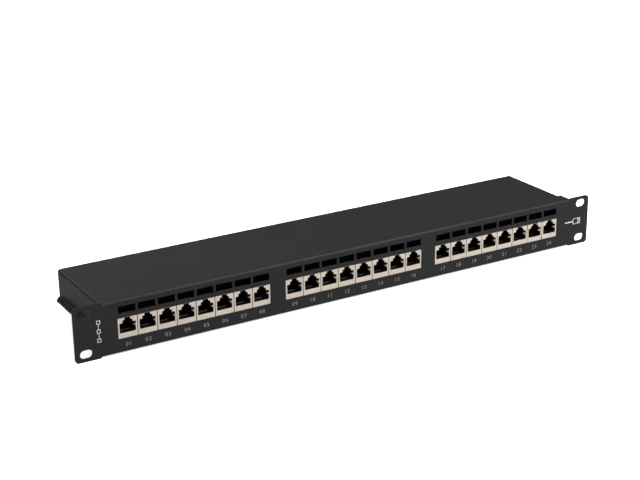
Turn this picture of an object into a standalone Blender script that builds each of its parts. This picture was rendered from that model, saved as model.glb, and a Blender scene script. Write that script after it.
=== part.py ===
"""A 19-inch, one-unit network patch panel with 24 shielded modular jacks in three groups of eight.

Frame: metres, +X to the right seen from the front, +Y to the back, +Z up.
The origin is the bottom centre of the whole panel's box.
Every mesh is drawn from the panel's front face (y = 0) and its bottom edge (z = 0), and each
object is then placed at y = FRONT, so that the origin lies halfway between front and back.
"""

import math

import bmesh
import bpy

# Driving dimensions (metres)
PANEL_WIDTH = 0.4826
PANEL_HEIGHT = 0.0437
DEPTH = 0.0833
GAP = 0.0003

SHEET = 0.0015
BEND_RADIUS = 0.0020
EAR_CORNER_RADIUS = 0.003
EAR_INNER_INSET = 0.0213
TAB_INSET = 0.0171
TAB_TOP = 0.0414
ROOF_TOP = 0.0427
LIP_BOTTOM = 0.0005
LIP_DEPTH = 0.0170

SLOT_LENGTH = 0.0100
SLOT_WIDTH = 0.0068
SLOT_PITCH_X = 0.4651
SLOT_PITCH_Z = 0.03175

GROUPS = 3
PORTS_PER_GROUP = 8
GROUP_PITCH = 0.1423
PORT_PITCH = 0.01612

JACK_WIDTH = 0.0156
JACK_HEIGHT = 0.0162
JACK_BOTTOM = 0.0119
JACK_DEPTH = 0.0210
JACK_RECESS = 0.0002
SHIELD_WALL = 0.0004

WINDOW_WIDTH = 0.0141
WINDOW_BOTTOM = 0.03175
WINDOW_TOP = 0.03775

WALL_INSET = 0.0215
WALL_CORNER_RADIUS = 0.0020
FOOT_INSET = 0.0171
FOOT_BOTTOM = 0.0183
FOOT_BEND_RADIUS = 0.0008
FOOT_CHAMFER = 0.0054
HEM_HEIGHT = 0.0042

TRAY_BOTTOM = 0.0181
TRAY_REAR = 0.0778
TRAY_EDGE_TOP = 0.0270
RISER_FRONT = 0.0348

BOARD_THICKNESS = 0.0016
BOARD_HALF = 0.0708
BOARD_BOTTOM = 0.0046
BOARD_TOP = 0.0400
BOARD_HOLE_X = 0.0676
BOARD_HOLE_Z = 0.0200
HOLE_RADIUS = 0.0017
CARRIER_BAR = 0.0017

PUNCH_SLOTS = 64
PUNCH_PITCH = 0.0018
PUNCH_SLOT_WIDTH = 0.0007
PUNCH_SLOT_DEPTH = 0.0050
PUNCH_DEPTH = 0.0084
PUNCH_BOTTOM = 0.0215
PUNCH_TOP = 0.0335

GROUND_X = 0.2095
GROUND_Y = 0.0600

# Places that follow from the driving dimensions
FRONT = -DEPTH / 2
HALF_WIDTH = PANEL_WIDTH / 2
MID_HEIGHT = PANEL_HEIGHT / 2
TAB_HALF = HALF_WIDTH - TAB_INSET
WALL_HALF = HALF_WIDTH - WALL_INSET
ROOF_FLAT_HALF = WALL_HALF - WALL_CORNER_RADIUS
FOOT_HALF = HALF_WIDTH - FOOT_INSET
INNER_FRONT = BEND_RADIUS + 0.0001
PAN_HALF = WALL_HALF - SHEET - GAP
TRAY_TOP = TRAY_BOTTOM + SHEET
FLOOR_BOTTOM = LIP_BOTTOM + SHEET + GAP
FLOOR_TOP = FLOOR_BOTTOM + SHEET
GROUP_WIDTH = (PORTS_PER_GROUP - 1) * PORT_PITCH + JACK_WIDTH
JACK_REAR = JACK_RECESS + JACK_DEPTH
CARRIER_REAR = JACK_REAR + GAP + CARRIER_BAR
BOARD_FRONT = CARRIER_REAR + GAP
BOARD_REAR = BOARD_FRONT + BOARD_THICKNESS


def clear_scene():
    for thing in list(bpy.data.objects):
        bpy.data.objects.remove(thing, do_unlink=True)


def make_material(name, colour, roughness, metallic):
    material = bpy.data.materials.new(name)
    material.use_nodes = True
    shader = material.node_tree.nodes["Principled BSDF"]
    shader.inputs["Base Color"].default_value = (*colour, 1.0)
    shader.inputs["Roughness"].default_value = roughness
    shader.inputs["Metallic"].default_value = metallic
    return material


# Outlines: lists of (u, v) points, walked once round

def rectangle(u_low, u_high, v_low, v_high):
    return [(u_low, v_low), (u_high, v_low), (u_high, v_high), (u_low, v_high)]


def arc(centre_u, centre_v, radius, start, end, steps):
    """Points on an arc, both ends included, with angles in degrees."""
    points = []
    for step in range(steps + 1):
        angle = math.radians(start + (end - start) * step / steps)
        points.append((centre_u + radius * math.cos(angle), centre_v + radius * math.sin(angle)))
    return points


def oblong(centre_u, centre_v, length, width, steps=8):
    """A slot with round ends, its length along u."""
    radius = width / 2
    reach = length / 2 - radius
    right = arc(centre_u + reach, centre_v, radius, -90, 90, steps)
    left = arc(centre_u - reach, centre_v, radius, 90, 270, steps)
    return right + left


def polygon(centre_u, centre_v, radius, sides, turn=0.0):
    return arc(centre_u, centre_v, radius, turn, turn + 360 * (sides - 1) / sides, sides - 1)


def mirrored(outline):
    return [(-u, v) for u, v in outline]


# Solids

def add_prism(mesh, axis, outline, low, high):
    """Adds a closed prism: the outline lies across the axis and runs from low to high along it."""
    order = {"X": lambda u, v, w: (w, u, v), "Y": lambda u, v, w: (u, w, v), "Z": lambda u, v, w: (u, v, w)}
    place = order[axis]
    near = [mesh.verts.new(place(u, v, low)) for u, v in outline]
    far = [mesh.verts.new(place(u, v, high)) for u, v in outline]
    mesh.faces.new(near)
    mesh.faces.new(list(reversed(far)))
    for index in range(len(outline)):
        after = (index + 1) % len(outline)
        mesh.faces.new((near[after], near[index], far[index], far[after]))


def prism_mesh(name, prisms):
    """A mesh of closed prisms, each given as (axis, outline, low, high)."""
    mesh = bmesh.new()
    for axis, outline, low, high in prisms:
        add_prism(mesh, axis, outline, low, high)
    bmesh.ops.recalc_face_normals(mesh, faces=mesh.faces)
    data = bpy.data.meshes.new(name)
    mesh.to_mesh(data)
    mesh.free()
    return data


def turned_mesh(name, profile, steps):
    """A solid of revolution about Z. The profile is (radius, z) from the axis at the top to the bottom."""
    mesh = bmesh.new()
    rings = []
    for radius, height in profile:
        rings.append([mesh.verts.new((u, v, height)) for u, v in polygon(0, 0, radius, steps)])
    for upper, lower in zip(rings, rings[1:]):
        for index in range(steps):
            after = (index + 1) % steps
            mesh.faces.new((upper[index], upper[after], lower[after], lower[index]))
    mesh.faces.new(rings[0])
    mesh.faces.new(rings[-1])
    bmesh.ops.recalc_face_normals(mesh, faces=mesh.faces)
    data = bpy.data.meshes.new(name)
    mesh.to_mesh(data)
    mesh.free()
    return data


def add_object(name, data, material, x=0.0, y=0.0):
    """Places a mesh drawn from the front face. A shared mesh keeps its first material."""
    if not data.materials:
        data.materials.append(material)
    thing = bpy.data.objects.new(name, data)
    thing.location = (x, FRONT + y, 0.0)
    bpy.context.scene.collection.objects.link(thing)
    return thing


def combine(target, prisms, operation):
    """Joins or cuts the target with each of the given prisms, and keeps the resulting mesh."""
    material = target.data.materials[0]
    tool = add_object("tool", prism_mesh("tool", prisms), material, target.location.x)
    tool.location = target.location
    modifier = target.modifiers.new("shape", "BOOLEAN")
    modifier.operation = operation
    modifier.object = tool
    graph = bpy.context.evaluated_depsgraph_get()
    result = bpy.data.meshes.new_from_object(target.evaluated_get(graph))
    target.modifiers.clear()
    target.data = result
    bpy.data.objects.remove(tool, do_unlink=True)


def group_centres():
    return [(group - (GROUPS - 1) / 2) * GROUP_PITCH for group in range(GROUPS)]


def port_offsets():
    """Port centres, measured from their group's centre."""
    return [(port - (PORTS_PER_GROUP - 1) / 2) * PORT_PITCH for port in range(PORTS_PER_GROUP)]


# Sub-parts

def lip_channel(top):
    """The front sheet's section: a flat face with a bent lip at its top and its bottom, as (y, z)."""
    inner = BEND_RADIUS - SHEET
    top_centre = top - BEND_RADIUS
    bottom_centre = LIP_BOTTOM + BEND_RADIUS
    outline = [(LIP_DEPTH, top)]
    outline += arc(BEND_RADIUS, top_centre, BEND_RADIUS, 90, 180, 6)
    outline += arc(BEND_RADIUS, bottom_centre, BEND_RADIUS, 180, 270, 6)
    outline += [(LIP_DEPTH, LIP_BOTTOM), (LIP_DEPTH, LIP_BOTTOM + SHEET)]
    outline += arc(BEND_RADIUS, bottom_centre, inner, 270, 180, 6)
    outline += arc(BEND_RADIUS, top_centre, inner, 180, 90, 6)
    return outline + [(LIP_DEPTH, top - SHEET)]


def hat_section():
    """The roof's section: a flat top, two side walls, and feet bent outwards, as (x, z)."""
    foot_top = FOOT_BOTTOM + SHEET
    bend_x = WALL_HALF + FOOT_BEND_RADIUS
    bend_z = foot_top + FOOT_BEND_RADIUS
    corner_z = ROOF_TOP - WALL_CORNER_RADIUS
    outside = [(FOOT_HALF, FOOT_BOTTOM), (FOOT_HALF, foot_top)]
    outside += arc(bend_x, bend_z, FOOT_BEND_RADIUS, 270, 180, 4)
    outside += arc(ROOF_FLAT_HALF, corner_z, WALL_CORNER_RADIUS, 0, 90, 5)
    inside = arc(ROOF_FLAT_HALF, corner_z, WALL_CORNER_RADIUS - SHEET, 90, 0, 3)
    inside += arc(bend_x, bend_z, FOOT_BEND_RADIUS + SHEET, 180, 270, 5)
    return outside + mirrored(outside)[::-1] + mirrored(inside)[::-1] + inside


def make_panel_shell(material):
    """Welded sheet steel: pierced front with two ears, roof, side walls, and feet along the walls.

    At each end a tab behind the ear runs on past the wall, just below the roof.
    """
    body = ("X", lip_channel(ROOF_TOP), -ROOF_FLAT_HALF, ROOF_FLAT_HALF)
    shell = add_object("panel_shell", prism_mesh("panel_shell", [body]), material)
    combine(shell, [("Y", hat_section(), INNER_FRONT, DEPTH)], "UNION")
    hem = rectangle(DEPTH - SHEET, DEPTH, ROOF_TOP - HEM_HEIGHT, ROOF_TOP - SHEET / 2)
    combine(shell, [("X", hem, -ROOF_FLAT_HALF, ROOF_FLAT_HALF)], "UNION")
    ear_inner = HALF_WIDTH - EAR_INNER_INSET
    overlap = 0.0010
    channel_root = ROOF_FLAT_HALF - overlap
    for low, high in ((-ear_inner, -channel_root), (channel_root, ear_inner)):
        combine(shell, [("X", lip_channel(TAB_TOP), low, high)], "UNION")
    tab = rectangle(ear_inner - overlap, TAB_HALF, SHEET / 2, LIP_DEPTH)
    for outline in (tab, mirrored(tab)):
        combine(shell, [("Z", outline, TAB_TOP - SHEET, TAB_TOP)], "UNION")

    chamfer = 0.0010
    corner = HALF_WIDTH - EAR_CORNER_RADIUS
    bend_line = LIP_BOTTOM + BEND_RADIUS
    ear = [(ROOF_FLAT_HALF, bend_line), (ear_inner, bend_line)]
    ear += [(ear_inner, LIP_BOTTOM + chamfer), (ear_inner + chamfer, 0.0)]
    ear += arc(corner, EAR_CORNER_RADIUS, EAR_CORNER_RADIUS, -90, 0, 6)
    ear += arc(corner, PANEL_HEIGHT - EAR_CORNER_RADIUS, EAR_CORNER_RADIUS, 0, 90, 6)
    ear += [(ear_inner + chamfer, PANEL_HEIGHT), (ear_inner, ROOF_TOP)]
    ear += [(ROOF_FLAT_HALF, ROOF_TOP - chamfer)]
    for outline in (ear, mirrored(ear)):
        combine(shell, [("Y", outline, 0.0, SHEET)], "UNION")

    clear = 0.001
    rear_corner = [(WALL_HALF + 0.0002, DEPTH + clear), (FOOT_HALF + clear, DEPTH + clear)]
    rear_corner += [(FOOT_HALF + clear, DEPTH - FOOT_CHAMFER - clear)]
    foot_start = (SHEET + INNER_FRONT) / 2
    front_edge = rectangle(WALL_HALF, FOOT_HALF + clear, foot_start, LIP_DEPTH)
    trims = [rear_corner, mirrored(rear_corner), front_edge, mirrored(front_edge)]
    foot_band = FOOT_BOTTOM + SHEET + FOOT_BEND_RADIUS + clear
    combine(shell, [("Z", trim, FOOT_BOTTOM - clear, foot_band) for trim in trims], "DIFFERENCE")

    cuts = []
    for x in (-SLOT_PITCH_X / 2, SLOT_PITCH_X / 2):
        for z in (MID_HEIGHT - SLOT_PITCH_Z / 2, MID_HEIGHT + SLOT_PITCH_Z / 2):
            cuts.append(oblong(x, z, SLOT_LENGTH, SLOT_WIDTH))
    for centre in group_centres():
        half = GROUP_WIDTH / 2 + GAP
        row_low = JACK_BOTTOM - GAP
        row_high = JACK_BOTTOM + JACK_HEIGHT + GAP
        cuts.append(rectangle(centre - half, centre + half, row_low, row_high))
        for offset in port_offsets():
            middle = centre + offset
            half_window = WINDOW_WIDTH / 2
            cuts.append(rectangle(middle - half_window, middle + half_window, WINDOW_BOTTOM, WINDOW_TOP))
    combine(shell, [("Y", cut, -clear, SHEET + clear) for cut in cuts], "DIFFERENCE")


def make_base_pan(material):
    """Stepped sheet that slides in from behind: floor, riser, side flaps, and a tray with raised edges."""
    riser_rear = RISER_FRONT + SHEET
    step = [(INNER_FRONT, FLOOR_BOTTOM), (riser_rear, FLOOR_BOTTOM), (riser_rear, TRAY_TOP)]
    step += [(RISER_FRONT, TRAY_TOP), (RISER_FRONT, FLOOR_TOP), (INNER_FRONT, FLOOR_TOP)]
    pan = add_object("base_pan", prism_mesh("base_pan", [("X", step, -PAN_HALF, PAN_HALF)]), material)
    tray = rectangle(-PAN_HALF, PAN_HALF, RISER_FRONT, TRAY_REAR)
    combine(pan, [("Z", tray, TRAY_BOTTOM, TRAY_TOP)], "UNION")

    side = [(INNER_FRONT, FLOOR_BOTTOM), (riser_rear, FLOOR_BOTTOM), (riser_rear, TRAY_BOTTOM)]
    side += [(TRAY_REAR, TRAY_BOTTOM), (TRAY_REAR, TRAY_EDGE_TOP), (RISER_FRONT, TRAY_EDGE_TOP)]
    side += [(RISER_FRONT, TRAY_TOP), (INNER_FRONT, TRAY_TOP)]
    inner = PAN_HALF - SHEET
    combine(pan, [("X", side, -PAN_HALF, -inner)], "UNION")
    combine(pan, [("X", side, inner, PAN_HALF)], "UNION")

    clear = 0.001
    tie_reach = 0.0034
    tie_width = 0.0018
    tie_front = 0.0680
    tie_rear = 0.0730
    cuts = [polygon(GROUND_X, GROUND_Y, 0.0028, 16)]
    for centre in group_centres():
        for offset in port_offsets():
            for tie_side in (-1, 1):
                x = centre + offset + tie_side * tie_reach
                cuts.append(rectangle(x - tie_width / 2, x + tie_width / 2, tie_front, tie_rear))
    combine(pan, [("Z", cut, TRAY_BOTTOM - clear, TRAY_TOP + clear) for cut in cuts], "DIFFERENCE")


def make_label_holders(material):
    """Dark channels behind the label windows, one for each group, open to the front."""
    front = SHEET + GAP
    rear = 0.0060
    wall = 0.0008
    low = WINDOW_BOTTOM - 0.0014
    high = WINDOW_TOP + 0.0011
    section = [(front, low), (rear, low), (rear, high), (front, high), (front, high - wall)]
    section += [(rear - wall, high - wall), (rear - wall, low + wall), (front, low + wall)]
    strip = prism_mesh("label_holder", [("X", section, -0.0648, 0.0648)])
    for number, centre in enumerate(group_centres(), start=1):
        add_object(f"label_holder_{number}", strip, material, centre)


def jack_opening():
    """The jack's opening, seen from the front: plug body below, two latch steps above, open at the top."""
    base = JACK_BOTTOM + 0.0042
    shoulder = JACK_BOTTOM + 0.01205
    step = JACK_BOTTOM + 0.0141
    crown = JACK_BOTTOM + JACK_HEIGHT + 0.001
    half_plug = 0.0065
    half_step = 0.0040
    half_crown = 0.0023
    ease = 0.0004
    right = [(half_plug, base), (half_plug, shoulder), (half_step + ease, shoulder)]
    right += [(half_step, shoulder + ease), (half_step, step), (half_crown, step + ease), (half_crown, crown)]
    return right + list(reversed(mirrored(right)))


def make_jack_shields(material):
    """Nickel-plated cans: open at the rear, with the stepped opening in the front."""
    half = JACK_WIDTH / 2
    top = JACK_BOTTOM + JACK_HEIGHT
    can = rectangle(-half, half, JACK_BOTTOM, top)
    inside = rectangle(-half + SHIELD_WALL, half - SHIELD_WALL, JACK_BOTTOM + SHIELD_WALL, top - SHIELD_WALL)
    clear = 0.001
    first = add_object("first", prism_mesh("jack_shield", [("Y", can, JACK_RECESS, JACK_REAR)]), material)
    combine(first, [("Y", inside, JACK_RECESS + SHIELD_WALL, JACK_REAR + clear)], "DIFFERENCE")
    combine(first, [("Y", jack_opening(), -clear, JACK_RECESS + 2 * SHIELD_WALL)], "DIFFERENCE")
    shield = first.data
    bpy.data.objects.remove(first, do_unlink=True)
    number = 1
    for centre in group_centres():
        for offset in port_offsets():
            add_object(f"jack_shield_{number:02d}", shield, material, centre + offset)
            number += 1


def make_contact_carriers(material):
    """Ganged black inserts: a rear bar with one L-shaped tongue reaching into each shield."""
    rear = JACK_REAR + GAP
    root = rear + 0.0008
    floor = JACK_BOTTOM + 0.0010
    shelf = JACK_BOTTOM + 0.0040
    ceiling = JACK_BOTTOM + JACK_HEIGHT - 0.0010
    back_wall = 0.0140
    tongue_front = 0.0020
    half_tongue = 0.0066
    bar_outline = rectangle(rear, CARRIER_REAR, JACK_BOTTOM + GAP, ceiling + 0.0004)
    bar = ("X", bar_outline, -GROUP_WIDTH / 2, GROUP_WIDTH / 2)
    tongue = [(tongue_front, floor), (root, floor), (root, ceiling), (back_wall, ceiling)]
    tongue += [(back_wall, shelf), (tongue_front, shelf)]
    carrier = add_object("first", prism_mesh("contact_carrier", [bar]), material)
    tongues = [("X", tongue, offset - half_tongue, offset + half_tongue) for offset in port_offsets()]
    combine(carrier, tongues, "UNION")
    shape = carrier.data
    bpy.data.objects.remove(carrier, do_unlink=True)
    for number, centre in enumerate(group_centres(), start=1):
        add_object(f"contact_carrier_{number}", shape, material, centre)


def make_circuit_boards(material):
    """Upright boards with the jacks on the front and the punch-down blocks on the back."""
    outline = rectangle(-BOARD_HALF, BOARD_HALF, BOARD_BOTTOM, BOARD_TOP)
    blank = ("Y", outline, BOARD_FRONT, BOARD_REAR)
    first = add_object("first", prism_mesh("circuit_board", [blank]), material)
    clear = 0.001
    holes = [polygon(side * BOARD_HOLE_X, BOARD_HOLE_Z, HOLE_RADIUS, 12) for side in (-1, 1)]
    combine(first, [("Y", hole, BOARD_FRONT - clear, BOARD_REAR + clear) for hole in holes], "DIFFERENCE")
    board = first.data
    bpy.data.objects.remove(first, do_unlink=True)
    for number, centre in enumerate(group_centres(), start=1):
        add_object(f"circuit_board_{number}", board, material, centre)


def make_punch_blocks(material):
    """Insulation-displacement blocks that face backwards, with one slot for each wire."""
    half = 0.0580
    front = BOARD_REAR + GAP
    rear = front + PUNCH_DEPTH
    slot_floor = rear - PUNCH_SLOT_DEPTH
    comb = [(-half, front), (half, front), (half, rear)]
    for slot in reversed(range(PUNCH_SLOTS)):
        x = (slot - (PUNCH_SLOTS - 1) / 2) * PUNCH_PITCH
        high = x + PUNCH_SLOT_WIDTH / 2
        low = x - PUNCH_SLOT_WIDTH / 2
        comb += [(high, rear), (high, slot_floor), (low, slot_floor), (low, rear)]
    comb += [(-half, rear)]
    block = prism_mesh("punch_block", [("Z", comb, PUNCH_BOTTOM, PUNCH_TOP)])
    for number, centre in enumerate(group_centres(), start=1):
        add_object(f"punch_down_block_{number}", block, material, centre)


def make_screen_clips(material):
    """Springy combs on the tray that grip each cable's screen between two prongs."""
    base = TRAY_TOP + GAP
    base_top = base + 0.0008
    prong_top = 0.0285
    comb = [(-0.0630, base), (0.0630, base), (0.0630, base_top)]
    for offset in reversed(port_offsets()):
        for prong in (0.0042, -0.0042):
            right = offset + prong + 0.0004
            left = offset + prong - 0.0004
            comb += [(right, base_top), (right, prong_top), (left, prong_top), (left, base_top)]
    comb += [(-0.0630, base_top)]
    clip = prism_mesh("screen_clip", [("Y", comb, 0.0430, 0.0500)])
    for number, centre in enumerate(group_centres(), start=1):
        add_object(f"screen_clip_strip_{number}", clip, material, centre)


def make_board_fixings(standoff_material, screw_material):
    """A hexagonal standoff and a screw at each end of each board, their axes along Y."""
    standoff_radius = 0.0030
    near = SHEET + GAP
    far = BOARD_FRONT - GAP
    clear = 0.001
    hexagon = polygon(0, BOARD_HOLE_Z, standoff_radius, 6)
    bore = polygon(0, BOARD_HOLE_Z, HOLE_RADIUS, 12)
    first = add_object("first", prism_mesh("standoff", [("Y", hexagon, near, far)]), standoff_material)
    combine(first, [("Y", bore, near - clear, far + clear)], "DIFFERENCE")
    standoff = first.data
    bpy.data.objects.remove(first, do_unlink=True)

    seat = GAP
    shank = 0.00135
    tip = -0.0120
    head = 0.0027
    profile = [(0.0019, seat + 0.0018), (0.0025, seat + 0.0014), (head, seat + 0.0008), (head, seat)]
    profile += [(shank, seat), (shank, tip + 0.0005), (0.0009, tip)]
    screw = turned_mesh("board_screw", profile, 12)
    number = 1
    for centre in group_centres():
        for side in (-1, 1):
            x = centre + side * BOARD_HOLE_X
            add_object(f"standoff_{number}", standoff, standoff_material, x)
            fixing = add_object(f"board_screw_{number}", screw, screw_material, x, BOARD_REAR)
            fixing.location.z = BOARD_HOLE_Z
            fixing.rotation_euler = (-math.pi / 2, 0, 0)
            number += 1


def make_earthing_set(material):
    """Screw up through the tray, with a washer and a nut to clamp an earth lead."""
    head_radius = 0.0046
    shank = 0.00245
    bore = 0.0028
    clear = 0.001
    head_top = TRAY_BOTTOM - GAP
    washer_bottom = TRAY_TOP + GAP
    washer_top = washer_bottom + 0.0010
    nut_bottom = washer_top + GAP
    nut_top = nut_bottom + 0.0040

    head = ("Z", polygon(0, 0, head_radius, 6), head_top - 0.0032, head_top)
    bolt = prism_mesh("earthing_screw", [head])
    screw = add_object("earthing_screw", bolt, material, GROUND_X, GROUND_Y)
    combine(screw, [("Z", polygon(0, 0, shank, 16), head_top - 0.0005, 0.0300)], "UNION")

    disc = ("Z", polygon(0, 0, 0.0055, 20), washer_bottom, washer_top)
    ring = prism_mesh("earthing_washer", [disc])
    washer = add_object("earthing_washer", ring, material, GROUND_X, GROUND_Y)
    combine(washer, [("Z", polygon(0, 0, bore, 16), washer_bottom - clear, washer_top + clear)], "DIFFERENCE")

    block = ("Z", polygon(0, 0, head_radius, 6), nut_bottom, nut_top)
    nut = add_object("earthing_nut", prism_mesh("earthing_nut", [block]), material, GROUND_X, GROUND_Y)
    combine(nut, [("Z", polygon(0, 0, bore, 16), nut_bottom - clear, nut_top + clear)], "DIFFERENCE")


def main():
    clear_scene()
    black_paint = make_material("black_paint", (0.030, 0.030, 0.031), 0.55, 0.0)
    nickel = make_material("nickel", (0.72, 0.64, 0.55), 0.32, 1.0)
    black_plastic = make_material("black_plastic", (0.012, 0.012, 0.012), 0.45, 0.0)
    board_green = make_material("board_green", (0.015, 0.10, 0.045), 0.40, 0.0)
    white_plastic = make_material("white_plastic", (0.75, 0.75, 0.72), 0.45, 0.0)
    steel = make_material("zinc_steel", (0.62, 0.62, 0.63), 0.35, 1.0)

    make_panel_shell(black_paint)
    make_base_pan(black_paint)
    make_label_holders(black_plastic)
    make_jack_shields(nickel)
    make_contact_carriers(black_plastic)
    make_circuit_boards(board_green)
    make_punch_blocks(white_plastic)
    make_screen_clips(nickel)
    make_board_fixings(steel, steel)
    make_earthing_set(steel)


main()
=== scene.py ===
"""Looks for the 19-inch network patch panel: materials, printed marks, jack insides and rear fittings."""
import math

import bmesh
import bpy
from mathutils import Matrix, Vector


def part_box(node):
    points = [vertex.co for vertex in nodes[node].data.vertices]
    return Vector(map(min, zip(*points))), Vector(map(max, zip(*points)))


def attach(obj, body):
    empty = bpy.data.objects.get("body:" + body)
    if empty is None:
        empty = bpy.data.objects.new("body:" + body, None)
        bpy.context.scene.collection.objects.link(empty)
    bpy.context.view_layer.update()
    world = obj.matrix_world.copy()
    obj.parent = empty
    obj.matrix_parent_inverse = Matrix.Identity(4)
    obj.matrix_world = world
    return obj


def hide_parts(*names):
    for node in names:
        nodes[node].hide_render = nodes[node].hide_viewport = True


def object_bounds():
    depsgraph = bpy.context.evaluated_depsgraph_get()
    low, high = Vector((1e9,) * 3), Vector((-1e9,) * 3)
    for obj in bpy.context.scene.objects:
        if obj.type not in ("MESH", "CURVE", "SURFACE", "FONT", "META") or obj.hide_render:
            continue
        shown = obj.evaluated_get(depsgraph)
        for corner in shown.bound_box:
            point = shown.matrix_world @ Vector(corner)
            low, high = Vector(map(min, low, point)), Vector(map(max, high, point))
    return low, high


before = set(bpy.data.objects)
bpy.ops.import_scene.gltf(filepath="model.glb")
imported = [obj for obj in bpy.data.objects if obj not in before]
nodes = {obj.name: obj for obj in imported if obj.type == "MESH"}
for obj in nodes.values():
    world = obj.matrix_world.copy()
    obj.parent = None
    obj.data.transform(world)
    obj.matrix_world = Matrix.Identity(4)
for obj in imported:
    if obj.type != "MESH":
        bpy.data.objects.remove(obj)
cad_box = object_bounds()

# Places read from the frame, in metres
LOW, HIGH = cad_box
FRONT = LOW.y
GROUPS = (1, 2, 3)
PORTS = range(1, 25)
PANEL = "panel"
PAN = "pan"


def centre_x(node):
    low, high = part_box(node)
    return (low.x + high.x) / 2


JACK_LOW, JACK_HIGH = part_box("jack_shield_01")
JACK_BOTTOM = JACK_LOW.z
JACK_TOP = JACK_HIGH.z
JACK_FACE = JACK_LOW.y
JACK_REAR = JACK_HIGH.y
PORT_X = [centre_x(f"jack_shield_{port:02d}") for port in PORTS]
GROUP_X = [centre_x(f"contact_carrier_{group}") for group in GROUPS]
PORT_OFFSETS = [x - GROUP_X[0] for x in PORT_X[:8]]

# The modular jack's stepped opening: half widths, and heights above the jack's bottom
PLUG_HALF = 0.0065
OPENING_BASE = 0.0042
SHOULDER = 0.01205
STEP_HALF = 0.0040
STEP_TOP = 0.0141
CROWN_HALF = 0.0023
CROWN_TOP = 0.0157
EASE = 0.0004


# Outlines: lists of (u, v) points

def rectangle(u_low, u_high, v_low, v_high):
    return [(u_low, v_low), (u_high, v_low), (u_high, v_high), (u_low, v_high)]


def arc(centre_u, centre_v, radius, start, end, steps):
    points = []
    for step in range(steps + 1):
        angle = math.radians(start + (end - start) * step / steps)
        points.append((centre_u + radius * math.cos(angle), centre_v + radius * math.sin(angle)))
    return points


def polygon(radius, sides):
    return arc(0, 0, radius, 0, 360 * (sides - 1) / sides, sides - 1)


def mirrored(outline):
    return [(-u, v) for u, v in outline]


def ribbon(path, thickness):
    """The outline of a strip of even thickness along a path."""
    left, right = [], []
    for index, point in enumerate(path):
        before = path[max(index - 1, 0)]
        after = path[min(index + 1, len(path) - 1)]
        along = Vector((after[0] - before[0], after[1] - before[1])).normalized()
        side = Vector((-along.y, along.x)) * thickness / 2
        left.append((point[0] + side.x, point[1] + side.y))
        right.append((point[0] - side.x, point[1] - side.y))
    return left + right[::-1]


def smooth_path(points, steps=4):
    """A Catmull-Rom curve through the points."""
    ends = [points[0]] + points + [points[-1]]
    path = []
    for a, b, c, d in zip(ends, ends[1:], ends[2:], ends[3:]):
        for step in range(steps):
            t = step / steps
            weights = (
                -t + 2 * t**2 - t**3,
                2 - 5 * t**2 + 3 * t**3,
                t + 4 * t**2 - 3 * t**3,
                t**3 - t**2,
            )
            path.append(tuple(sum(w * p[i] for w, p in zip(weights, (a, b, c, d))) / 2 for i in (0, 1)))
    return path + [points[-1]]


# Meshes

SMOOTH_ANGLE = 40
WELD_GAP = 0.00001
BEVEL_ANGLE = 30

# Where a prism's outline (u, v) and its length w go, by the axis the prism runs along
PLACE = {
    "X": lambda u, v, w: (w, u, v),
    "Y": lambda u, v, w: (u, w, v),
    "Z": lambda u, v, w: (u, v, w),
}


def add_prism(mesh, axis, outline, low, high):
    place = PLACE[axis]
    near = [mesh.verts.new(place(u, v, low)) for u, v in outline]
    far = [mesh.verts.new(place(u, v, high)) for u, v in outline]
    faces = [mesh.faces.new(near), mesh.faces.new(far[::-1])]
    for index in range(len(outline)):
        after = (index + 1) % len(outline)
        faces.append(mesh.faces.new((near[after], near[index], far[index], far[after])))
    return faces


def add_lathe(mesh, profile, steps):
    """A closed solid turned about Z, from (radius, z) points."""
    rings = [[mesh.verts.new((u, v, z)) for u, v in polygon(radius, steps)] for radius, z in profile]
    for upper, lower in zip(rings, rings[1:]):
        for index in range(steps):
            after = (index + 1) % steps
            mesh.faces.new((upper[index], upper[after], lower[after], lower[index]))
    mesh.faces.new(rings[0])
    mesh.faces.new(rings[-1])


def finish_mesh(mesh, name, smooth_angle=None):
    bmesh.ops.recalc_face_normals(mesh, faces=mesh.faces)
    data = bpy.data.meshes.new(name)
    mesh.to_mesh(data)
    mesh.free()
    if smooth_angle:
        data.shade_smooth()
        data.set_sharp_from_angle(angle=math.radians(smooth_angle))
    return data


def prism_mesh(name, prisms, smooth_angle=None):
    mesh = bmesh.new()
    for prism in prisms:
        add_prism(mesh, *prism)
    return finish_mesh(mesh, name, smooth_angle)


def lathe_mesh(name, profile, steps):
    mesh = bmesh.new()
    add_lathe(mesh, profile, steps)
    return finish_mesh(mesh, name, SMOOTH_ANGLE)


def combine(data, tool_data, operation="DIFFERENCE"):
    """The mesh that a Boolean of two meshes makes."""
    target = bpy.data.objects.new("boolean_target", data)
    tool = bpy.data.objects.new("boolean_tool", tool_data)
    for thing in (target, tool):
        bpy.context.scene.collection.objects.link(thing)
    modifier = target.modifiers.new("shape", "BOOLEAN")
    modifier.operation = operation
    modifier.object = tool
    graph = bpy.context.evaluated_depsgraph_get()
    result = bpy.data.meshes.new_from_object(target.evaluated_get(graph))
    for thing in (target, tool):
        bpy.data.objects.remove(thing, do_unlink=True)
    return result


def piece(name, data, material, place=(0, 0, 0), body=PANEL):
    """Adds an object that moves with a body."""
    thing = bpy.data.objects.new(name, data)
    bpy.context.scene.collection.objects.link(thing)
    data.materials.clear()
    data.materials.append(material)
    thing.location = place
    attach(thing, body)
    return thing


def soften(thing, width, segments=2):
    """Rounds a piece's edges."""
    weld = thing.modifiers.new("weld", "WELD")
    weld.merge_threshold = WELD_GAP
    bevel = thing.modifiers.new("soft_edges", "BEVEL")
    bevel.width = width
    bevel.segments = segments
    bevel.limit_method = "ANGLE"
    bevel.angle_limit = math.radians(BEVEL_ANGLE)
    bevel.use_clamp_overlap = True


# Materials. Colours are linear; noise scales are per metre; bump and edge distances are in metres.

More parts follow.
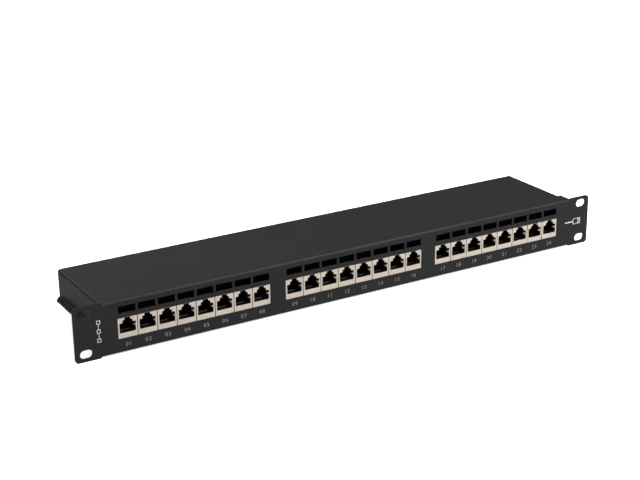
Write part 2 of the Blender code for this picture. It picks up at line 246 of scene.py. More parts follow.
PAINT_DARK = (0.0185, 0.0185, 0.0188)
PAINT_LIGHT = (0.0203, 0.0203, 0.0206)
PAINT_SPECK = (0.030, 0.030, 0.0305)
PAINT_WORN = (0.040, 0.040, 0.041)
NICKEL_BRIGHT = (0.82, 0.72, 0.63)
NICKEL_CLOUD = (0.74, 0.65, 0.56)
NICKEL_STREAK = (0.65, 0.565, 0.475)
NICKEL_EDGE = (0.55, 0.42, 0.30)
ZINC_BRIGHT = (0.66, 0.67, 0.70)
ZINC_DARK = (0.52, 0.53, 0.55)
ZINC_TINT = (0.62, 0.58, 0.45)
# Dark greys, not gold, for the contact springs: painted shade deep inside the jacks
CONTACT_SHADE_WARM = (0.12, 0.12, 0.11)
CONTACT_SHADE_COOL = (0.11, 0.115, 0.125)
MASK_DARK = (0.006, 0.060, 0.028)
MASK_LIGHT = (0.010, 0.095, 0.040)
MASK_OVER_TRACK = (0.030, 0.170, 0.070)
PAIR_COLOURS = ((0.02, 0.10, 0.45), (0.70, 0.22, 0.02), (0.02, 0.28, 0.07), (0.16, 0.07, 0.03))
CARD_WHITE = (0.70, 0.70, 0.67)
CARD_FIBRE = (0.40, 0.40, 0.38)
PAIR_PITCH = 0.0036


class Shader:
    """A node material with a Principled shader, and short ways to add what drives it."""

    def __init__(self, name):
        self.material = bpy.data.materials.new(name)
        self.material.use_nodes = True
        self.tree = self.material.node_tree
        self.surface = self.tree.nodes["Principled BSDF"]
        coordinates = self.tree.nodes.new("ShaderNodeTexCoord")
        self.position = coordinates.outputs["Object"]

    def join(self, source, target):
        self.tree.links.new(source, target)

    def put(self, socket, value):
        if isinstance(value, bpy.types.NodeSocket):
            self.join(value, socket)
        else:
            socket.default_value = value

    def set(self, **values):
        """Sets the Principled shader's inputs, named with underscores for spaces."""
        for name, value in values.items():
            self.put(self.surface.inputs[name.replace("_", " ")], value)

    def stretched(self, scale):
        """The position scaled along each axis."""
        mapping = self.tree.nodes.new("ShaderNodeMapping")
        mapping.inputs["Scale"].default_value = scale
        self.join(self.position, mapping.inputs["Vector"])
        return mapping.outputs["Vector"]

    def noise(self, scale, detail=3.0, vector=None):
        node = self.tree.nodes.new("ShaderNodeTexNoise")
        node.inputs["Scale"].default_value = scale
        node.inputs["Detail"].default_value = detail
        self.join(vector or self.position, node.inputs["Vector"])
        return node.outputs["Fac"]

    def cells(self, scale):
        node = self.tree.nodes.new("ShaderNodeTexVoronoi")
        node.inputs["Scale"].default_value = scale
        self.join(self.position, node.inputs["Vector"])
        return node.outputs["Distance"]

    def spread(self, value, low, high, to_low, to_high):
        """Maps low..high to to_low..to_high."""
        node = self.tree.nodes.new("ShaderNodeMapRange")
        self.join(value, node.inputs["Value"])
        for name, number in zip(("From Min", "From Max", "To Min", "To Max"), (low, high, to_low, to_high)):
            node.inputs[name].default_value = number
        return node.outputs["Result"]

    def math(self, operation, first, second):
        node = self.tree.nodes.new("ShaderNodeMath")
        node.operation = operation
        self.put(node.inputs[0], first)
        self.put(node.inputs[1], second)
        return node.outputs["Value"]

    def mix(self, factor, first, second):
        node = self.tree.nodes.new("ShaderNodeMix")
        node.data_type = "RGBA"
        self.put(node.inputs[0], factor)
        for socket, value in ((node.inputs[6], first), (node.inputs[7], second)):
            self.put(socket, value if isinstance(value, bpy.types.NodeSocket) else (*value, 1.0))
        return node.outputs[2]

    def bump(self, height, strength, distance):
        node = self.tree.nodes.new("ShaderNodeBump")
        node.inputs["Strength"].default_value = strength
        node.inputs["Distance"].default_value = distance
        self.join(height, node.inputs["Height"])
        self.set(Normal=node.outputs["Normal"])

    def edges(self, radius):
        """0 on flat stretches, rising to 1 on sharp outer edges."""
        bevel = self.tree.nodes.new("ShaderNodeBevel")
        bevel.samples = 4
        bevel.inputs["Radius"].default_value = radius
        geometry = self.tree.nodes.new("ShaderNodeNewGeometry")
        dot = self.tree.nodes.new("ShaderNodeVectorMath")
        dot.operation = "DOT_PRODUCT"
        self.join(bevel.outputs["Normal"], dot.inputs[0])
        self.join(geometry.outputs["Normal"], dot.inputs[1])
        return self.spread(dot.outputs["Value"], 0.99, 0.8, 0.0, 1.0)


def powder_coat():
    """Black powder coat: fine grain, faint cloudiness, slightly paler on worn edges."""
    paint = Shader("black_powder_coat")
    cloud = paint.spread(paint.noise(22), 0.3, 0.7, 0.0, 1.0)
    grain = paint.noise(1400, 2.0)
    base = paint.mix(cloud, PAINT_DARK, PAINT_LIGHT)
    speck = paint.spread(grain, 0.60, 0.72, 0.0, 0.5)
    speckled = paint.mix(speck, base, PAINT_SPECK)
    wear = paint.math("MULTIPLY", paint.edges(0.0003), paint.spread(paint.noise(260), 0.45, 0.7, 0.0, 0.6))
    paint.set(Base_Color=paint.mix(wear, speckled, PAINT_WORN), Specular_IOR_Level=0.095)
    paint.set(Roughness=paint.spread(paint.noise(70, 4.0), 0.3, 0.7, 0.28, 0.33))
    paint.bump(grain, 0.22, 0.00004)
    return paint.material


def nickel():
    """Warm satin nickel with rolling streaks, cloudy tarnish and a duller edge."""
    metal = Shader("nickel_plate")
    streak = metal.noise(1.0, 4.0, metal.stretched((90, 1400, 1400)))
    cloud = metal.spread(metal.noise(150, 4.0), 0.35, 0.7, 0.0, 1.0)
    base = metal.mix(cloud, NICKEL_BRIGHT, NICKEL_CLOUD)
    fine = metal.mix(metal.spread(streak, 0.4, 0.75, 0.0, 0.35), base, NICKEL_STREAK)
    edge = metal.spread(metal.edges(0.00025), 0.0, 1.0, 0.0, 0.35)
    metal.set(Base_Color=metal.mix(edge, fine, NICKEL_EDGE), Metallic=1.0)
    metal.set(Roughness=metal.spread(streak, 0.3, 0.7, 0.26, 0.42))
    metal.bump(streak, 0.12, 0.00003)
    return metal.material


def zinc_steel():
    """Bright zinc plate with a fine crystalline bloom."""
    metal = Shader("zinc_steel")
    bloom = metal.cells(900)
    base = metal.mix(metal.spread(bloom, 0.0, 0.9, 0.0, 1.0), ZINC_BRIGHT, ZINC_DARK)
    tint = metal.spread(metal.noise(120), 0.4, 0.7, 0.0, 0.3)
    metal.set(Base_Color=metal.mix(tint, base, ZINC_TINT), Metallic=1.0)
    metal.set(Roughness=metal.spread(metal.noise(400), 0.3, 0.7, 0.24, 0.42))
    metal.bump(metal.noise(1600, 3.0), 0.1, 0.00003)
    return metal.material


def gold():
    """The contact springs' plating, kept dim: the photo shows only faint glints inside the jacks."""
    metal = Shader("gold_contact")
    rubbed = metal.spread(metal.noise(700, 3.0), 0.45, 0.7, 0.0, 0.6)
    # The springs' colour is a dark grey, painted shade deep inside the jacks, with a random warm or cool tone
    metal.set(Base_Color=metal.mix(rubbed, CONTACT_SHADE_WARM, CONTACT_SHADE_COOL), Metallic=1.0)
    metal.set(Roughness=metal.spread(metal.noise(1500), 0.3, 0.7, 0.18, 0.34))
    metal.bump(metal.noise(2500), 0.08, 0.00002)
    return metal.material


def moulded(name, dark, light, roughness, specular=0.4):
    """Moulded plastic with a fine cell texture and faint flow clouds."""
    plastic = Shader(name)
    flow = plastic.spread(plastic.noise(60, 3.0), 0.3, 0.7, 0.0, 1.0)
    grain = plastic.cells(2600)
    plastic.set(Base_Color=plastic.mix(flow, dark, light), Specular_IOR_Level=specular)
    plastic.set(Roughness=plastic.spread(grain, 0.1, 0.8, roughness - 0.06, roughness + 0.08))
    plastic.bump(grain, 0.15, 0.00003)
    return plastic.material


def circuit_board():
    """Green solder mask over copper tracks, with a glass-weave texture."""
    board = Shader("circuit_board")
    tracks = board.tree.nodes.new("ShaderNodeTexBrick")
    tracks.inputs["Scale"].default_value = 220
    tracks.inputs["Mortar Size"].default_value = 0.035
    board.join(board.stretched((1.0, 0.35, 1.0)), tracks.inputs["Vector"])
    copper = board.spread(tracks.outputs["Fac"], 0.0, 1.0, 0.0, 1.0)
    plane = board.spread(board.noise(90, 0.0), 0.5, 0.52, 0.0, 0.5)
    mask = board.mix(plane, MASK_DARK, MASK_LIGHT)
    board.set(Base_Color=board.mix(copper, mask, MASK_OVER_TRACK))
    weave = board.noise(1.0, 1.0, board.stretched((2500, 2500, 2500)))
    board.set(Roughness=board.spread(weave, 0.3, 0.7, 0.22, 0.36))
    board.bump(copper, 0.3, 0.00004)
    return board.material


def ink(name, thin_colour, full_colour):
    """Screen print, slightly uneven in cover."""
    print_ = Shader(name)
    thin = print_.spread(print_.noise(900, 3.0), 0.35, 0.65, 0.0, 1.0)
    print_.set(Base_Color=print_.mix(thin, thin_colour, full_colour), Roughness=0.55)
    print_.bump(print_.noise(2200), 0.1, 0.00002)
    return print_.material


def colour_code():
    """Printed card along the block: each wire's colour in turn, a white one after each coloured one."""
    card = Shader("colour_code_card")
    split = card.tree.nodes.new("ShaderNodeSeparateXYZ")
    card.join(card.position, split.inputs["Vector"])
    along = card.math("DIVIDE", card.math("ADD", split.outputs["X"], 1.0), PAIR_PITCH)
    turn = card.math("MODULO", card.math("FLOOR", along, 0.0), 4.0)
    shade = card.mix(card.math("GREATER_THAN", turn, 0.5), PAIR_COLOURS[0], PAIR_COLOURS[1])
    shade = card.mix(card.math("GREATER_THAN", turn, 1.5), shade, PAIR_COLOURS[2])
    shade = card.mix(card.math("GREATER_THAN", turn, 2.5), shade, PAIR_COLOURS[3])
    wire = card.math("MODULO", along, 1.0)
    striped = card.mix(card.math("GREATER_THAN", wire, 0.5), shade, CARD_WHITE)
    fibre = card.spread(card.noise(1200, 4.0), 0.3, 0.7, 0.0, 0.25)
    card.set(Base_Color=card.mix(fibre, striped, CARD_FIBRE), Roughness=0.6)
    card.bump(card.noise(1800), 0.1, 0.00002)
    return card.material


PAINT = powder_coat()
NICKEL = nickel()
ZINC = zinc_steel()
GOLD = gold()
WINDOW_BLACK = moulded("window_black", (0.0015, 0.0015, 0.0016), (0.0024, 0.0024, 0.0024), 0.8, 0.02)
BLACK_PLASTIC = moulded("black_plastic", (0.0035, 0.0035, 0.0037), (0.006, 0.006, 0.006), 0.5, 0.25)
WHITE_PLASTIC = moulded("white_plastic", (0.66, 0.66, 0.62), (0.76, 0.76, 0.73), 0.45)
BOARD = circuit_board()
INK = ink("white_ink", (0.27, 0.27, 0.27), (0.35, 0.35, 0.345))
BRIGHT_INK = ink("bright_ink", (0.62, 0.62, 0.62), (0.74, 0.74, 0.73))
CODE_CARD = colour_code()


# CAD nodes that are shown as they are, with softened edges

SHEET_EDGE = 0.0002
MOULDED_EDGE = 0.0001
SHIELD_EDGE = 0.00012
FITTINGS = range(1, 7)


def dress(names, material, width):
    for name in names:
        node = nodes[name]
        node.data.materials.clear()
        node.data.materials.append(material)
        soften(node, width)


def dress_frame():
    dress(["panel_shell", "base_pan"], PAINT, SHEET_EDGE)
    dress([f"label_holder_{group}" for group in GROUPS], WINDOW_BLACK, MOULDED_EDGE)
    dress([f"jack_shield_{port:02d}" for port in PORTS], NICKEL, SHIELD_EDGE)
    dress([f"circuit_board_{group}" for group in GROUPS], BOARD, MOULDED_EDGE)
    dress([f"punch_down_block_{group}" for group in GROUPS], WHITE_PLASTIC, MOULDED_EDGE)
    dress([f"standoff_{number}" for number in FITTINGS], ZINC, SHEET_EDGE)


# Jack insides

def jack_opening(grow):
    """The stepped opening, grown all round, seen from the front and centred on the jack's middle line."""
    base = JACK_BOTTOM + OPENING_BASE - grow
    shoulder = JACK_BOTTOM + SHOULDER + grow
    right = [(PLUG_HALF + grow, base), (PLUG_HALF + grow, shoulder)]
    right += [(STEP_HALF + EASE + grow, shoulder), (STEP_HALF + grow, shoulder + EASE)]
    right += [(STEP_HALF + grow, JACK_BOTTOM + STEP_TOP), (CROWN_HALF + grow, JACK_BOTTOM + STEP_TOP + EASE)]
    right += [(CROWN_HALF + grow, JACK_BOTTOM + CROWN_TOP)]
    return right + mirrored(right)[::-1]


CONTACT_PITCH = 0.00102
CONTACT_OFFSETS = [(index - 3.5) * CONTACT_PITCH for index in range(8)]
CONTACT_THICKNESS = 0.00028
CONTACT_WIDTH = 0.00034
CAVITY_FLOOR = JACK_BOTTOM + OPENING_BASE
CAVITY_END = FRONT + 0.0138
SHIELD_WALL = 0.00045
HOUSING_FACE = JACK_FACE + 0.0005
HOUSING_EDGE = 0.00008
GROOVE_HALF = 0.00030
GROOVE_LOW = CAVITY_FLOOR - 0.0007
GROOVE_HIGH = CAVITY_FLOOR + 0.0002
GROOVE_END_WALL = 0.0006
OPENING_CLEARANCE = 0.0001
TAB_THICKNESS = 0.00025
TAB_LOW = JACK_BOTTOM + 0.0078
TAB_HIGH = TAB_LOW + 0.0016


def make_port_housings():
    """Ganged black housings that fill the shields, each with a plug cavity and grooves for its contacts."""
    half = (JACK_HIGH.x - JACK_LOW.x) / 2 - SHIELD_WALL
    block = []
    cavities = []
    grooves = []
    for x in PORT_OFFSETS:
        outline = rectangle(x - half, x + half, JACK_BOTTOM + SHIELD_WALL, JACK_TOP - SHIELD_WALL)
        block.append(("Y", outline, HOUSING_FACE, JACK_REAR + 0.0008))
        opening = [(u + x, v) for u, v in jack_opening(OPENING_CLEARANCE)]
        cavities.append(("Y", opening, HOUSING_FACE - 0.001, CAVITY_END))
        for offset in CONTACT_OFFSETS:
            middle = x + offset
            groove = rectangle(middle - GROOVE_HALF, middle + GROOVE_HALF, GROOVE_LOW, GROOVE_HIGH)
            grooves.append(("Y", groove, HOUSING_FACE + GROOVE_END_WALL, CAVITY_END - GROOVE_END_WALL))
    carrier_low, carrier_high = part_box("contact_carrier_1")
    half_bar = (carrier_high.x - carrier_low.x) / 2
    bar = rectangle(-half_bar, half_bar, carrier_low.z, carrier_high.z)
    bar_data = prism_mesh("bar", [("Y", bar, JACK_REAR + 0.0003, carrier_high.y)])
    data = combine(prism_mesh("housing", block), bar_data, "UNION")
    data = combine(data, prism_mesh("cavities", cavities))
    data = combine(data, prism_mesh("grooves", grooves))
    for group, x in zip(GROUPS, GROUP_X):
        housing = piece(f"port_housing_{group}", data, BLACK_PLASTIC, (x, 0, 0))
        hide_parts(f"contact_carrier_{group}")
        soften(housing, HOUSING_EDGE, 1)


def make_contacts():
    """Eight springs in each jack, rising from the cavity's floor towards the back."""
    points = [(0.0060, -0.0004), (0.0064, 0.0003), (0.0078, 0.0013), (0.0093, 0.0023), (0.0108, 0.0032)]
    points += [(0.0121, 0.0031), (0.0132, 0.0022)]
    path = smooth_path([(FRONT + y, CAVITY_FLOOR + z) for y, z in points])
    outline = ribbon(path, CONTACT_THICKNESS)
    half = CONTACT_WIDTH / 2
    springs = [("X", outline, offset - half, offset + half) for offset in CONTACT_OFFSETS]
    data = prism_mesh("contact_springs", springs, SMOOTH_ANGLE)
    for port, x in zip(PORTS, PORT_X):
        piece(f"contact_springs_{port:02d}", data, GOLD, (x, 0, 0))


def make_ground_tabs():
    """Two springy tongues bent into each jack from the shield's side walls, to touch the plug's screen."""
    inner = PLUG_HALF + 0.0004
    points = [(inner, 0.0006), (inner - 0.0009, 0.0018), (inner - 0.0014, 0.0032)]
    points += [(inner - 0.0009, 0.0046), (inner - 0.0001, 0.0056)]
    path = smooth_path([(x, JACK_FACE + y) for x, y in points])
    outline = ribbon(path, TAB_THICKNESS)
    tabs = [("Z", side, TAB_LOW, TAB_HIGH) for side in (outline, mirrored(outline))]
    data = prism_mesh("ground_tabs", tabs, SMOOTH_ANGLE)
    for port, x in zip(PORTS, PORT_X):
        piece(f"ground_tabs_{port:02d}", data, NICKEL, (x, 0, 0))


# Printed marks

PRINT_THICKNESS = 0.00003
NUMBER_HEIGHT = 0.0034
NUMBER_MIDDLE = 0.0067
FONT_CAP_HEIGHT = 0.73
MARK_LINE = 0.00045


def text_mesh(words, height):
    """Thin raised figures, standing upright in the XZ plane and centred on the origin."""
    curve = bpy.data.curves.new("print", "FONT")
    curve.body = words
    curve.size = height / FONT_CAP_HEIGHT
    curve.align_x = "CENTER"
    curve.align_y = "CENTER"
    curve.extrude = PRINT_THICKNESS / 2
    curve.offset = -height * 0.022
    curve.space_character = 1.2
    curve.resolution_u = 4
    thing = bpy.data.objects.new("print", curve)
    bpy.context.scene.collection.objects.link(thing)
    bpy.context.view_layer.update()
    data = bpy.data.meshes.new_from_object(thing.evaluated_get(bpy.context.evaluated_depsgraph_get()))
    bpy.data.objects.remove(thing, do_unlink=True)
    data.transform(Matrix.Rotation(math.radians(90), 4, "X"))
    return data


def make_port_numbers():
    """Port numbers 01 to 24, printed under the jacks."""
    mesh = bmesh.new()
    for port, x in zip(PORTS, PORT_X):
        data = text_mesh(f"{port:02d}", NUMBER_HEIGHT)
        data.transform(Matrix.Translation((x, FRONT - PRINT_THICKNESS, NUMBER_MIDDLE)))
        mesh.from_mesh(data)
    bmesh.ops.remove_doubles(mesh, verts=mesh.verts, dist=0.000001)
    piece("port_numbers", finish_mesh(mesh, "port_numbers"), INK)


def frame_bars(u, v, width, height):
    """Four thin bars that draw a rectangle's outline."""
    low_u, high_u = u - width / 2, u + width / 2
    low_v, high_v = v - height / 2, v + height / 2
    return [
        rectangle(low_u, high_u, low_v, low_v + MARK_LINE),
        rectangle(low_u, high_u, high_v - MARK_LINE, high_v),
        rectangle(low_u, low_u + MARK_LINE, low_v + MARK_LINE, high_v - MARK_LINE),
        rectangle(high_u - MARK_LINE, high_u, low_v + MARK_LINE, high_v - MARK_LINE),
    ]


def print_piece(name, outlines):
    print_low = FRONT - PRINT_THICKNESS * 1.5
    print_high = FRONT - PRINT_THICKNESS * 0.5
    piece(name, prism_mesh(name, [("Y", outline, print_low, print_high) for outline in outlines]), BRIGHT_INK)


def make_generic_marks():
    """A plain network symbol by the left ear and a plain plug on its cable by the right one."""
    half_line = MARK_LINE / 2
    middle = (LOW.z + HIGH.z) / 2
    left = LOW.x + 0.0195
    box_size = 0.0030
    reach = 0.0072
    bars = []
    for offset in (-reach, 0, reach):
        bars += frame_bars(left, middle + offset, box_size, box_size)
    for side in (-1, 1):
        joint = middle + side * reach / 2
        half = reach / 2 - box_size / 2
        bars.append(rectangle(left - half_line, left + half_line, joint - half, joint + half))
    print_piece("network_symbol", bars)

    plug = HIGH.x - 0.0125
    plug_width = 0.0080
    plug_height = 0.0052
    cable = 0.0090
    pin_pitch = 0.0011
    bars = frame_bars(plug, middle, plug_width, plug_height)
    for index in range(4):
        z = middle + (index - 1.5) * pin_pitch
        bars.append(rectangle(plug + 0.0010, plug + 0.0034, z - half_line, z + half_line))
    start = plug - plug_width / 2
    bars.append(rectangle(start - cable, start, middle - MARK_LINE, middle + MARK_LINE))
    print_piece("plug_symbol", bars)


# Rear fittings

BLOCK_SLOTS = 64
SLOT_PITCH = 0.0018
BLADE_THICKNESS = 0.00022
BLADE_GAP_HALF = 0.00024
CARD_HALF = 0.0575
CARD_THICKNESS = 0.0002
JOINT_LIFT = 0.00005
PIN_PITCH = 0.0020
PIN_COUNT = 60
CLIP_SHEET = 0.0005
ROUND_STEPS = 32
HEX_RADIUS = 0.0046
CHAMFER_RADIUS = 0.0038
CHAMFER_HEIGHT = 0.0005
OVERLAP = 0.00002


def make_punch_contacts():
    """A forked blade in every slot of the punch-down blocks, and a colour card on the board above them."""
    low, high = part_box("punch_down_block_1")
    blades = []
    for slot in range(BLOCK_SLOTS):
        x = (slot - (BLOCK_SLOTS - 1) / 2) * SLOT_PITCH
        for side in (-1, 1):
            near = x + side * BLADE_GAP_HALF
            ends = sorted((near, near + side * BLADE_THICKNESS))
            blade = rectangle(*ends, high.y - 0.0049, high.y - 0.0008)
            blades.append(("Z", blade, low.z + 0.0034, high.z - 0.0034))
    blade_data = prism_mesh("punch_blades", blades)
    board_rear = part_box("circuit_board_1")[1].y
    card = rectangle(-CARD_HALF, CARD_HALF, high.z + 0.0007, high.z + 0.0043)
    card_face = board_rear + JOINT_LIFT
    card_data = prism_mesh("colour_card", [("Y", card, card_face, card_face + CARD_THICKNESS)])
    for group, x in zip(GROUPS, GROUP_X):
        piece(f"punch_blades_{group}", blade_data, ZINC, (x, 0, 0))
        piece(f"colour_card_{group}", card_data, CODE_CARD, (x, 0, 0))


def make_solder_joints():
    """Rows of solder cones: the jacks' pins behind each board, and the blocks' pins in front of it."""
    board_low, board_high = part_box("circuit_board_1")
    behind = (board_high.y - JOINT_LIFT, 90)
    before = (board_low.y + JOINT_LIFT, -90)
    rows = (
        (behind, 0.0135, PIN_PITCH, PIN_COUNT),
        (behind, 0.0160, PIN_PITCH, PIN_COUNT),
        (before, 0.0310, SLOT_PITCH, BLOCK_SLOTS),
    )
    cone = [(0.00062, 0.0), (0.00045, -0.0004), (0.0002, -0.0008), (0.00016, -0.0013)]
    mesh = bmesh.new()
    for (face, turn), height, pitch, count in rows:
        for index in range(count):
            joint = bmesh.new()
            add_lathe(joint, cone, 8)
            place = Matrix.Translation(((index - (count - 1) / 2) * pitch, face, height))
            place = place @ Matrix.Rotation(math.radians(turn), 4, "X")
            bmesh.ops.transform(joint, matrix=place, verts=joint.verts)
            lump = bpy.data.meshes.new("lump")
            joint.to_mesh(lump)
            joint.free()
            mesh.from_mesh(lump)
    data = finish_mesh(mesh, "solder_joints", 50)
    for group, x in zip(GROUPS, GROUP_X):
        piece(f"solder_joints_{group}", data, ZINC, (x, 0, 0))


def make_screen_clips():
    """Bent spring combs: a flat foot on the tray and a pair of flared prongs for each cable."""
    low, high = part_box("screen_clip_strip_1")
    foot_half = (high.x - low.x) / 2
    foot = ("Z", rectangle(-foot_half, foot_half, low.y, high.y), low.z, low.z + CLIP_SHEET)
    points = [(0.0045, 0.0001), (0.0045, 0.0022), (0.0037, 0.0045), (0.0036, 0.0060), (0.0042, 0.0074)]
    points += [(0.0050, 0.0084)]
    middle = (low.y + high.y) / 2
    halves = ((low.y + 0.0002, middle - 0.0003), (middle + 0.0003, high.y - 0.0002))
    prongs = []
    for x in PORT_OFFSETS:
        for side in (-1, 1):
            path = smooth_path([(x + side * u, low.z + v) for u, v in points])
            outline = ribbon(path, CLIP_SHEET)
            for start, end in halves:
                prongs.append(("Y", outline, start, end))
    data = combine(prism_mesh("clip_foot", [foot]), prism_mesh("prongs", prongs), "UNION")
    data.shade_smooth()
    data.set_sharp_from_angle(angle=math.radians(SMOOTH_ANGLE))
    for group, x in zip(GROUPS, GROUP_X):
        clip = piece(f"screen_clip_{group}", data, NICKEL, (x, 0, 0), PAN)
        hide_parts(f"screen_clip_strip_{group}")


def thread_profile(radius, depth, pitch, top, bottom):
    """A zigzag of grooves round a turned shank, which reads as a thread."""
    points = []
    height = top
    while height > bottom:
        points += [(radius, height), (radius - depth, height - pitch / 2)]
        height -= pitch
    return points


def make_board_screws():
    """Pan-head screws with a cross recess and a threaded shank, their heads to the rear."""
    low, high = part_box("board_screw_1")
    radius = (high.x - low.x) / 2
    top = high.y
    head = top - 0.0018
    dome = [(0.0003, top), (0.0012, top - 0.00008), (0.0019, top - 0.0003), (0.0024, top - 0.0007)]
    dome += [(radius, top - 0.0012), (radius, head)]
    shank = thread_profile(0.00135, 0.0002, 0.0005, head, low.y + 0.0006)
    data = lathe_mesh("pan_screw", dome + shank + [(0.0007, low.y)], 24)
    arm = 0.0014
    half = 0.00032
    cross = []
    for outline in (rectangle(-arm, arm, -half, half), rectangle(-half, half, -arm, arm)):
        cross.append(prism_mesh("cross", [("Z", outline, top - 0.0011, top + 0.0005)]))
    data = combine(data, combine(cross[0], cross[1], "UNION"))
    data.transform(Matrix.Rotation(math.radians(-90), 4, "X"))
    for number in FITTINGS:
        low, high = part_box(f"board_screw_{number}")
        middle = (low + high) / 2
        screw = piece(f"pan_head_screw_{number}", data, ZINC, (middle.x, 0, middle.z))
        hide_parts(f"board_screw_{number}")


def make_earthing_set():
    """Hexagon screw, toothed washer and chamfered nut for the earth lead."""
    low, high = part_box("earthing_screw")
    head_top = low.z + 0.0032
    place = ((low.x + high.x) / 2, (low.y + high.y) / 2, 0)
    outside = HEX_RADIUS + 0.0002
    hexagon = prism_mesh("hexagon", [("Z", polygon(HEX_RADIUS, 6), low.z, head_top)])
    chamfer = [(outside, head_top + 0.001), (outside, low.z + CHAMFER_HEIGHT)]
    chamfer += [(CHAMFER_RADIUS, low.z - OVERLAP)]
    head = combine(hexagon, lathe_mesh("chamfer", chamfer, 48), "INTERSECT")
    shank = [(0.0018, high.z), (0.0022, high.z - 0.0004)]
    shank += thread_profile(0.00245, 0.00032, 0.0008, high.z - 0.0006, head_top)
    shank += [(0.0021, head_top - 0.0003)]
    screw_data = combine(head, lathe_mesh("shank", shank, ROUND_STEPS), "UNION")
    screw = piece("earth_screw", screw_data, ZINC, place, PAN)
    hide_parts("earthing_screw")

    low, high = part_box("earthing_washer")
    root = 0.0047
    tip = 0.0055
    teeth = 16
    outline = []
    for tooth in range(teeth):
        start = 360 * tooth / teeth
        for radius, angle in ((root, start), (tip, start + 5), (tip, start + 15), (root, start + 19)):
            turn = math.radians(angle)
            outline.append((radius * math.cos(turn), radius * math.sin(turn)))
    disc = prism_mesh("washer", [("Z", outline, low.z, high.z)])
    hole = prism_mesh("hole", [("Z", polygon(0.0028, ROUND_STEPS), low.z - 0.001, high.z + 0.001)])
    washer = piece("toothed_washer", combine(disc, hole), ZINC, place, PAN)
    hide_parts("earthing_washer")

    low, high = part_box("earthing_nut")
    hexagon = prism_mesh("hexagon", [("Z", polygon(HEX_RADIUS, 6), low.z, high.z)])
    cone = [(CHAMFER_RADIUS, high.z + OVERLAP), (outside, high.z - CHAMFER_HEIGHT)]
    cone += [(outside, low.z + CHAMFER_HEIGHT), (CHAMFER_RADIUS, low.z - OVERLAP)]
    body = combine(hexagon, lathe_mesh("chamfer", cone, 48), "INTERSECT")
    bore = [(0.0032, high.z + 0.0002), (0.0026, high.z - 0.0006)]
    bore += [(0.0026, low.z + 0.0006), (0.0032, low.z - 0.0002)]
    nut_data = combine(body, lathe_mesh("bore", bore, ROUND_STEPS))
    nut = piece("earth_nut", nut_data, ZINC, place, PAN)
    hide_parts("earthing_nut")


# Stage, lights and camera

FLOOR_GLOW = 0.58
# How the floor looks to the panel: painted shade, darker behind the panel than in front
FLOOR_SHADE_IN_FRONT = (0.42, 0.42, 0.42)
FLOOR_SHADE_BEHIND = (0.24, 0.24, 0.24)
FLOOR_REACH = 6.0
FLOOR_TOP = -0.0002
FLOOR_BOTTOM = -0.02


def make_stage():
    """A floor that shows nearly white to the camera; to the panel it shows painted shade, darkest behind it.
    """
    paper = Shader("pale_floor")
    tone = paper.spread(paper.noise(3, 2.0), 0.3, 0.7, 0.0, 1.0)
    camera_ray = paper.tree.nodes.new("ShaderNodeLightPath").outputs["Is Camera Ray"]
    shown = paper.mix(tone, (0.93, 0.93, 0.93), (0.95, 0.95, 0.95))
    split = paper.tree.nodes.new("ShaderNodeSeparateXYZ")
    paper.join(paper.position, split.inputs["Vector"])
    behind = paper.spread(split.outputs["Y"], -0.05, 0.15, 0.0, 1.0)
    # Painted shade: rays other than the camera's see the floor dark, darkest behind the panel
    reflected = paper.mix(behind, FLOOR_SHADE_IN_FRONT, FLOOR_SHADE_BEHIND)
    paper.set(Base_Color=paper.mix(camera_ray, reflected, shown), Roughness=0.8)
    glow = paper.math("MULTIPLY", camera_ray, FLOOR_GLOW)
    paper.set(Emission_Color=(1.0, 1.0, 1.0, 1.0), Emission_Strength=glow)
    square = rectangle(-FLOOR_REACH, FLOOR_REACH, -FLOOR_REACH, FLOOR_REACH)
    data = prism_mesh("floor", [("Z", square, FLOOR_BOTTOM, FLOOR_TOP)])
    floor = bpy.data.objects.new("floor", data)
    bpy.context.scene.collection.objects.link(floor)
    data.materials.append(paper.material)


def add_area_light(name, place, target, width, height, power):
    light = bpy.data.lights.new(name, "AREA")
    light.shape = "ELLIPSE"
    light.size = width
    light.size_y = height
    light.energy = power
    lamp = bpy.data.objects.new(name, light)
    bpy.context.scene.collection.objects.link(lamp)
    lamp.location = place
    lamp.rotation_euler = (Vector(target) - Vector(place)).to_track_quat("-Z", "Y").to_euler()


BACK_LIGHT = 0.31
TOP_LIGHT = 0.05
FRONT_LIGHT = 0.30
SHADED_LEFT = 0.2


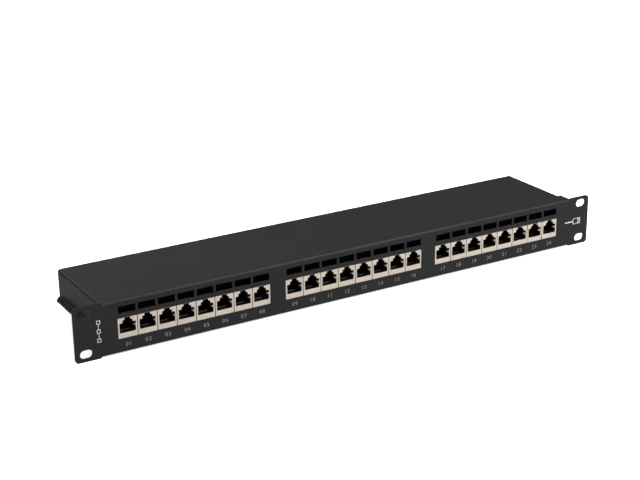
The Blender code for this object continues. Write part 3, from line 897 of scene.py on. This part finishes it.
def make_world():
    """White to the camera, but to the panel a dim surround with a little more light from above and in front.

    The surround fades out to the right, and it is darker low on the left, as the photo's left wall shows.
    """
    world = bpy.data.worlds.new("studio")
    world.use_nodes = True
    tree = world.node_tree
    background = tree.nodes["Background"]
    coordinates = tree.nodes.new("ShaderNodeTexCoord")
    split = tree.nodes.new("ShaderNodeSeparateXYZ")
    tree.links.new(coordinates.outputs["Generated"], split.inputs["Vector"])

    def ramp(value, low, high, to_low, to_high):
        node = tree.nodes.new("ShaderNodeMapRange")
        node.interpolation_type = "SMOOTHSTEP"
        tree.links.new(value, node.inputs["Value"])
        for name, number in zip(("From Min", "From Max", "To Min", "To Max"), (low, high, to_low, to_high)):
            node.inputs[name].default_value = number
        return node.outputs["Result"]

    def join(operation, first, second):
        node = tree.nodes.new("ShaderNodeMath")
        node.operation = operation
        tree.links.new(first, node.inputs[0])
        tree.links.new(second, node.inputs[1])
        return node.outputs["Value"]

    fading_right = ramp(split.outputs["X"], 0.2, 0.6, BACK_LIGHT, 0.0)
    left = ramp(split.outputs["X"], -0.5, 0.1, 1.0, 0.0)
    low = ramp(split.outputs["Z"], 0.05, 0.35, 1.0, 0.0)
    shaded_left = ramp(join("MULTIPLY", left, low), 0.0, 1.0, 1.0, SHADED_LEFT)
    behind = join("MULTIPLY", fading_right, shaded_left)
    above = ramp(split.outputs["Z"], 0.35, 0.95, 0.0, TOP_LIGHT)
    ahead = ramp(split.outputs["Y"], -0.6, 0.3, FRONT_LIGHT, 0.0)
    seen_by_object = join("ADD", join("ADD", behind, above), ahead)
    path = tree.nodes.new("ShaderNodeLightPath")
    strength = tree.nodes.new("ShaderNodeMix")
    tree.links.new(path.outputs["Is Camera Ray"], strength.inputs["Factor"])
    tree.links.new(seen_by_object, strength.inputs["A"])
    strength.inputs["B"].default_value = 1.0
    tree.links.new(strength.outputs["Result"], background.inputs["Strength"])
    background.inputs["Color"].default_value = (1.0, 1.0, 1.0, 1.0)
    bpy.context.scene.world = world


def make_lights():
    """Each light's place, the point it faces, its width and height, and its power in watts."""
    bpy.context.scene.view_settings.view_transform = "Standard"
    add_area_light("key", (0.65, -0.5, 1.2), (0.65, 0, 0), 1.3, 0.2, 33)
    add_area_light("fill", (-1.1, -0.2, 1.0), (0, 0, 0), 1.2, 1.2, 1.5)
    add_area_light("front", (0.6, -1.2, 0.45), (0.1, 0, 0), 0.6, 0.6, 2)
    add_area_light("rear", (-0.4, 1.15, 0.8), (0, 0, 0), 0.5, 0.5, 1.4)
    add_area_light("side", (-1.0, 0.2, 0.6), (-0.2, 0, 0), 0.6, 0.6, 2.5)


CAMERA_PLACE = Vector((-0.5851, -0.9777, 0.4585))
CAMERA_AZIMUTH = 30.545
CAMERA_ELEVATION = 20.33
CAMERA_ROLL = -0.656
CAMERA_LENS = 83.0
SENSOR = 36.0


def make_camera():
    """Looks along the azimuth, measured from +Y towards +X, and down by the elevation."""
    turn = math.radians(CAMERA_AZIMUTH)
    drop = math.radians(CAMERA_ELEVATION)
    roll = math.radians(CAMERA_ROLL)
    ahead = Vector((math.sin(turn) * math.cos(drop), math.cos(turn) * math.cos(drop), -math.sin(drop)))
    level = Vector((math.cos(turn), -math.sin(turn), 0))
    upright = level.cross(ahead)
    right = math.cos(roll) * level + math.sin(roll) * upright
    up = -math.sin(roll) * level + math.cos(roll) * upright
    lens = bpy.data.cameras.new("camera")
    lens.lens = CAMERA_LENS
    lens.sensor_width = SENSOR
    lens.clip_start = 0.01
    camera = bpy.data.objects.new("camera", lens)
    bpy.context.scene.collection.objects.link(camera)
    axes = Matrix((right, up, -ahead)).transposed()
    camera.matrix_world = Matrix.Translation(CAMERA_PLACE) @ axes.to_4x4()
    bpy.context.scene.camera = camera


dress_frame()
make_port_housings()
make_contacts()
make_ground_tabs()
make_port_numbers()
make_generic_marks()
make_punch_contacts()
make_solder_joints()
make_screen_clips()
make_board_screws()
make_earthing_set()
make_stage()
make_world()
make_lights()
make_camera()
